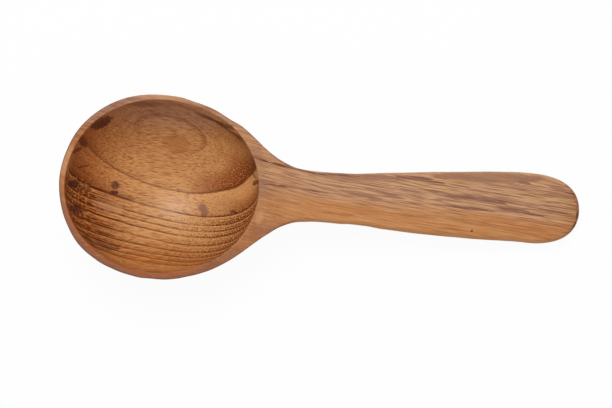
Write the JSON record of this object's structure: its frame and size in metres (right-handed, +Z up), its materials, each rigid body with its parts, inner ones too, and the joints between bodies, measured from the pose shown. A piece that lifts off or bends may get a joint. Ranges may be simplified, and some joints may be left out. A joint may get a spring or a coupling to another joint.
{
  "type": "wooden spoon",
  "caption": "Wooden scoop spoon carved in one piece, with a deep round bowl, a thin flat rim, a narrow neck and a broad rounded handle.",
  "frame": {"origin": "on the table under the middle of the spoon's bounding box, with the spoon lying on its belly and the end of its handle", "axes": "+X from the bowl to the end of the handle, +Z up from the table, and +Y to the left of someone who looks along the handle from the bowl"},
  "size_m": [0.2172, 0.075, 0.0429],
  "materials": {
    "teak": "oiled teak, sanded to a satin sheen"
  },
  "bodies": {
    "root": {"spoon": "teak"}
  },
  "joints": []
}
